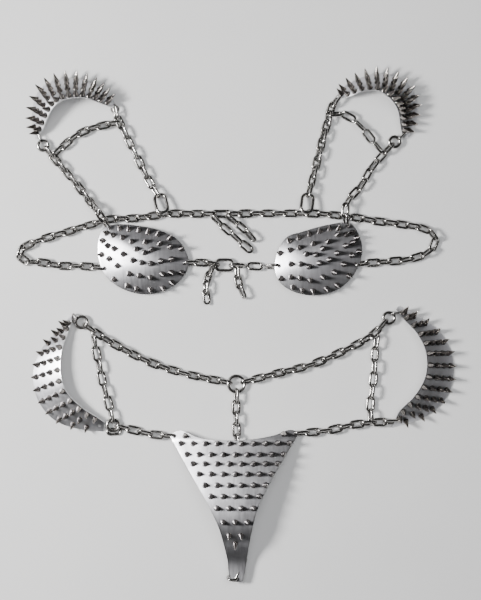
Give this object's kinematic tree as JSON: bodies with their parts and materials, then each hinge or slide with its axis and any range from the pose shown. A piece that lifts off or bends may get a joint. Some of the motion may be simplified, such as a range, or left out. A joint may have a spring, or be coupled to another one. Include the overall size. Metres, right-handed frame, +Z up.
{
  "type": "two-piece spiked plate and chain body armour",
  "caption": "Body armour in two pieces, top and bottom, of sheet-metal plates set with cone studs and joined by steel link chain, laid out flat.",
  "frame": {"origin": "on the surface that the armour lies on, under the middle of its whole outline", "axes": "+Y towards the neck end, +X to the right as seen from above, +Z up, off the surface"},
  "size_m": [0.5298, 0.6162, 0.0428],
  "materials": {
    "plate": "brushed sheet with cut edges, set with bright cone studs",
    "chain": "bright steel wire"
  },
  "bodies": {
    "root": {"back_chain_left": "chain", "back_chain_right": "chain", "back_ring": "chain", "back_strap_left": "chain", "back_strap_oval_left": "chain", "back_strap_oval_right": "chain", "back_strap_right": "chain", "band_chain_left": "chain", "band_chain_right": "chain", "band_oval": "chain", "band_tail_long": "chain", "band_tail_short": "chain", "bust_chain_left": "chain", "bust_chain_right": "chain", "bust_oval": "chain", "bust_tail_left": "chain", "bust_tail_right": "chain", "crotch_chain": "chain", "cup_left": "plate", "cup_right": "plate", "front_plate": "plate", "front_strap_left": "chain", "front_strap_right": "chain", "hip_front_chain_left": "chain", "hip_front_chain_right": "chain", "hip_plate_left": "plate", "hip_plate_right": "plate", "hip_ring_left": "chain", "hip_ring_low_left": "chain", "hip_ring_right": "chain", "shoulder_plate_left": "plate", "shoulder_plate_right": "plate", "shoulder_ring_left": "chain", "shoulder_ring_right": "chain", "shoulder_tie_left": "chain", "shoulder_tie_right": "chain", "side_chain_left": "chain", "side_chain_right": "chain"}
  },
  "joints": []
}
